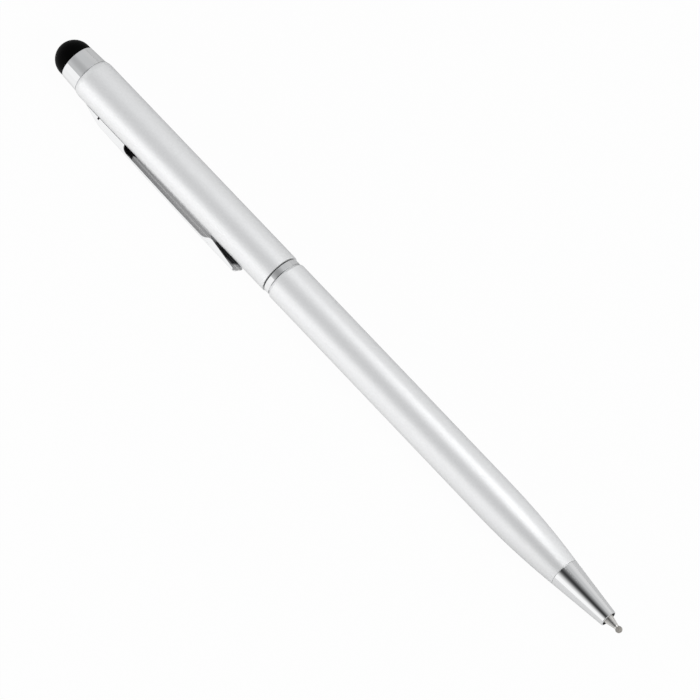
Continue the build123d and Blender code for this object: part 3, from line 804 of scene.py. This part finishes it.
def clip_finish():
    """Chrome on pressed sheet: bright outside, streaky inside with painted shade and a painted highlight line, and
    painted shade deep in its root and foot.
    """
    material = chrome_finish("chrome_clip_finish", roughness=0.05, scratch=0.04)
    tree = material.node_tree
    shader = tree.nodes["Principled BSDF"]
    bright = shader.inputs["Base Color"].links[0].from_socket
    polished = shader.inputs["Roughness"].links[0].from_socket
    low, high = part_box("clip")
    place = tree.nodes.new("ShaderNodeTexCoord").outputs
    along = reach_along(tree, place["Object"], PEN_AXIS)
    aside = calculated(tree, "ABSOLUTE", reach_along(tree, place["Object"], clip_across))
    inside = clip_inside(tree, place["Normal"], aside)
    in_root = clip_root(tree, along, aside, low.x)
    in_foot = clip_foot(tree, along, high.x)
    # Where shade is painted: the root's deep end and the foot's hollow
    painted_shade_zone = calculated(tree, "MAXIMUM", in_root, in_foot)
    lengthwise = stretched(tree, place["Object"], STREAK_STRETCH)
    streak_noise = noise_of(tree, lengthwise, STREAK_SCALE, STREAK_DETAIL)
    streak = ramp_between(tree, streak_noise, *STREAK_CONTRAST)
    # A painted highlight line down the middle of the inner face, standing in for a reflection
    painted_highlight_line = ramp_between(tree, aside, HIGHLIGHT_LINE_REACH, HIGHLIGHT_LINE_HALF_WIDTH)
    shine = calculated(tree, "MAXIMUM", painted_highlight_line, calculated(tree, "MULTIPLY", streak, STREAK_SHARE))
    # Streaks partly as die lines and partly as painted reflection, over a grey of painted shade
    drawn = colour_mix(tree, shine, *STRIP_STREAKS_AND_PAINTED_LIGHT)
    # Painted shade in the foot's hollow
    drawn = colour_mix(tree, in_foot, drawn, colour_mix(tree, streak, *FOOT_PAINTED_SHADE))
    # Painted near-black shade in the root
    drawn = colour_mix(tree, in_root, drawn, ROOT_SHADE)
    tree.links.new(colour_mix(tree, inside, bright, drawn), shader.inputs["Base Color"])
    plating_loss = calculated(tree, "MULTIPLY", inside, INNER_METALLIC_LOSS)
    tree.links.new(calculated(tree, "SUBTRACT", 1, plating_loss), shader.inputs["Metallic"])
    # The zone of painted shade is also made duller
    painted_shade_inside = calculated(tree, "MULTIPLY", inside, painted_shade_zone)
    dull = calculated(tree, "MULTIPLY", painted_shade_inside, PAINTED_SHADE_ROUGHNESS)
    tree.links.new(calculated(tree, "MAXIMUM", polished, dull), shader.inputs["Roughness"])
    return material


# Table, studio and camera

def table_white(tree, axes, shares, reach):
    """How white one end of the table looks in metal, from its near side to its far side."""
    near_share, far_share = shares
    across = ramp_between(
        tree, axes["Y"], WHITE_TABLE_FULL, WHITE_TABLE_START, start=near_share, end=far_share
    )
    return calculated(tree, "MULTIPLY", across, ramp_between(tree, axes["X"], *reach))


def white_to_sight(tree):
    """A mask of the rays that see the table white: the camera's, and a share of those from the pen."""
    path = tree.nodes.new("ShaderNodeLightPath").outputs
    place = tree.nodes.new("ShaderNodeTexCoord")
    split = tree.nodes.new("ShaderNodeSeparateXYZ")
    tree.links.new(place.outputs["Object"], split.inputs["Vector"])
    tail = table_white(tree, split.outputs, TAIL_TABLE_SHARES, (TIP_TABLE_FULL, TIP_TABLE_START))
    tip = table_white(tree, split.outputs, TIP_TABLE_SHARES, (TIP_TABLE_START, TIP_TABLE_FULL))
    bounced = calculated(tree, "MAXIMUM", path["Is Glossy Ray"], path["Is Transmission Ray"])
    mirrored = calculated(tree, "MULTIPLY", bounced, calculated(tree, "ADD", tail, tip))
    seen = calculated(tree, "MULTIPLY", path["Is Camera Ray"], SEEN_WHITE_SHARE)
    return calculated(tree, "MAXIMUM", seen, mirrored)


def make_floor():
    """A dull table under the pen that is white to sight."""
    shape = bmesh.new()
    bmesh.ops.create_grid(shape, x_segments=1, y_segments=1, size=FLOOR_SIZE)
    bmesh.ops.translate(shape, verts=shape.verts, vec=(0, 0, cad_low.z))
    floor = linked_object("table", shape)
    material, tree, shader = principled("table_white", FLOOR_COLOUR)
    shader.inputs["Roughness"].default_value = 1.0
    shader.inputs["Specular IOR Level"].default_value = 0.0
    white = tree.nodes.new("ShaderNodeEmission")
    mix = tree.nodes.new("ShaderNodeMixShader")
    tree.links.new(white_to_sight(tree), mix.inputs["Fac"])
    tree.links.new(shader.outputs["BSDF"], mix.inputs[1])
    tree.links.new(white.outputs["Emission"], mix.inputs[2])
    tree.links.new(mix.outputs["Shader"], tree.nodes["Material Output"].inputs["Surface"])
    floor.data.materials.append(material)


def near_side_mask(tree, axes):
    """Where the tent's near side begins: low and sharp at the tail, higher and softer at the tip."""
    edge = ramp_between(tree, axes["X"], *NEAR_SIDE_REACH, "LINEAR", *NEAR_SIDE_EDGES)
    softness = ramp_between(tree, axes["X"], *NEAR_SIDE_REACH, "LINEAR", *NEAR_EDGE_SOFTNESS)
    beyond = calculated(tree, "MULTIPLY", calculated(tree, "ADD", axes["Y"], edge), -1)
    return ramp_between(tree, calculated(tree, "DIVIDE", beyond, softness), 0, 1)


def near_side_colour(tree, axes, tipward):
    """The near side's white, dimmer low down at the tip and grey past the pen's front."""
    raised = ramp_between(tree, axes["Z"], *TIP_LOW_REACH)
    tip_side = colour_mix(tree, raised, TENT_NEAR_TIP_LOW, TENT_NEAR_TIP)
    near_side = colour_mix(tree, tipward, TENT_NEAR_TAIL, tip_side)
    front = ramp_between(tree, axes["X"], *NEAR_SIDE_FRONT)
    return colour_mix(tree, front, near_side, TENT_FRONT)


def make_tent():
    """A light tent: grey overhead, white at its near side, with a dark opening for the lens."""
    world = bpy.data.worlds.new("light_tent")
    bpy.context.scene.world = world
    world.use_nodes = True
    tree = world.node_tree
    direction = tree.nodes.new("ShaderNodeTexCoord").outputs["Generated"]
    split = tree.nodes.new("ShaderNodeSeparateXYZ")
    tree.links.new(direction, split.inputs["Vector"])
    axes = split.outputs
    tipward = ramp_between(tree, axes["X"], *NEAR_SIDE_REACH)
    far = ramp_between(tree, axes["Y"], *FAR_SIDE_REACH)
    far_side = colour_mix(tree, tipward, TENT_FAR_SIDE, TENT_FAR_TIP)
    walls = colour_mix(tree, far, TENT_TOP, far_side)
    near_side = near_side_colour(tree, axes, tipward)
    walls = colour_mix(tree, near_side_mask(tree, axes), walls, near_side)
    away = calculated(tree, "ARCCOSINE", reach_along(tree, direction, OPENING_AIM))
    clear = ramp_between(tree, away, OPENING_INNER, OPENING_OUTER, "LINEAR")
    walls = colour_mix(tree, clear, TENT_OPENING, walls)
    path = tree.nodes.new("ShaderNodeLightPath")
    sight = colour_mix(tree, path.outputs["Is Camera Ray"], walls, WHITE)
    tree.links.new(sight, tree.nodes["Background"].inputs["Color"])


def softbox(name, place, aim, width, height, power, mirrored=True):
    """A rectangular soft lamp that faces a point on the pen."""
    lamp = bpy.data.lights.new(name, "AREA")
    lamp.shape = "RECTANGLE"
    lamp.size = width
    lamp.size_y = height
    lamp.energy = power
    holder = bpy.data.objects.new(name, lamp)
    holder.location = place
    holder.rotation_euler = (Vector(place) - Vector(aim)).to_track_quat("Z", "Y").to_euler()
    holder.visible_camera = False
    holder.visible_glossy = mirrored
    bpy.context.scene.collection.objects.link(holder)


def view_direction():
    """Unit vector from the pen to the camera, which leans to the clip's side and to the writing tip."""
    level = math.cos(CAMERA_TILT)
    return Vector((math.sin(CAMERA_TILT), -math.sin(CAMERA_LEAN) * level, math.cos(CAMERA_LEAN) * level))


def make_camera():
    """A long lens that sees the pen slope down to the right."""
    lens = bpy.data.cameras.new("camera")
    lens.lens = CAMERA_LENS
    lens.sensor_width = CAMERA_SENSOR
    lens.clip_start = CAMERA_NEAR
    camera = bpy.data.objects.new("camera", lens)
    back = view_direction()
    pen_across = back.cross(PEN_AXIS).normalized()
    pen_along = pen_across.cross(back)
    right = pen_along * math.cos(PEN_SLOPE) + pen_across * math.sin(PEN_SLOPE)
    up = back.cross(right)
    camera.location = CAMERA_TARGET + back * CAMERA_DISTANCE
    camera.rotation_euler = Matrix((right, up, back)).transposed().to_euler()
    bpy.context.scene.collection.objects.link(camera)
    bpy.context.scene.camera = camera


# Pieces that take the place of the visible nodes
lacquer = lacquer_finish()
chrome_trim = chrome_finish("chrome_trim_finish", roughness=0.04, scratch=0.03)

stand_for(lower_barrel_piece(), "lower_barrel", lacquer)
stand_for(upper_barrel_piece(), "upper_barrel", lacquer)
stand_for(nose_piece(), "nose_cone", chrome_trim)
stand_for(ring_piece(), "centre_ring", chrome_trim)
stand_for(collar_piece(), "top_collar", chrome_trim)
stand_for(dome_piece(), "stylus_tip", dome_finish())
stand_for(point_piece(), "writing_point", point_finish())
stand_for(seal_piece(), "tip_seal", wax_finish())
stand_for(clip_piece(), "clip", clip_finish())

# Nodes inside the pen keep their shape and get their finish
brass = metal_finish(
    "brass_finish",
    dark=(0.62, 0.46, 0.20),
    light=(0.80, 0.63, 0.31),
    roughness=0.26,
    mottle=0.14,
    depth=1e-6,
)
steel = metal_finish(
    "spring_steel_finish",
    dark=(0.42, 0.43, 0.45),
    light=(0.58, 0.59, 0.61),
    roughness=0.22,
    mottle=0.12,
    depth=1e-6,
)
carbide = metal_finish(
    "carbide_finish",
    dark=(0.28, 0.28, 0.29),
    light=(0.38, 0.38, 0.39),
    roughness=0.12,
    mottle=0.06,
    depth=2e-7,
)
acetal = plain_finish(
    "acetal_finish",
    dark=(0.80, 0.79, 0.74),
    light=(0.90, 0.89, 0.85),
    roughness=0.45,
    mottle=0.12,
    depth=2e-6,
)
black_plastic = plain_finish(
    "black_plastic_finish",
    dark=(0.03, 0.03, 0.032),
    light=(0.06, 0.06, 0.064),
    roughness=0.48,
    mottle=0.12,
    depth=3e-6,
)
ring_rubber = plain_finish(
    "ring_rubber_finish",
    dark=(0.02, 0.02, 0.02),
    light=(0.04, 0.04, 0.04),
    roughness=0.6,
    mottle=0.15,
    depth=3e-6,
)
ink_paste = plain_finish(
    "ink_finish",
    dark=(0.004, 0.005, 0.02),
    light=(0.010, 0.012, 0.05),
    roughness=0.15,
    mottle=0.10,
    depth=1e-6,
)
inner_finishes = {
    "guide_tube": black_plastic,
    "refill_tube": brass,
    "tip_core": brass,
    "retaining_ring": steel,
    "drive_pin": steel,
    "writing_ball": carbide,
    "cam_sleeve": acetal,
    "driver": acetal,
    "clip_lock": black_plastic,
    "friction_ring": ring_rubber,
    "ink": ink_paste,
}
for node, finish in inner_finishes.items():
    nodes[node].data.materials.clear()
    nodes[node].data.materials.append(finish)

make_floor()
make_tent()
softbox("strip_lamp", place=(-0.015, 0.2155, 0.2758), aim=(0.04, 0, 0), width=0.09, height=0.28, power=0.14)
softbox(
    "fill_lamp",
    place=(0.56, 0.12, 0.46),
    aim=(0.02, 0, 0),
    width=0.2,
    height=0.2,
    power=2.6,
    mirrored=False,
)
softbox(
    "side_lamp",
    place=(-0.09, -0.15, 0.05),
    aim=(-0.03, 0, 0),
    width=0.12,
    height=0.08,
    power=0.11,
    mirrored=False,
)
make_camera()

bpy.context.scene.view_settings.view_transform = "Standard"
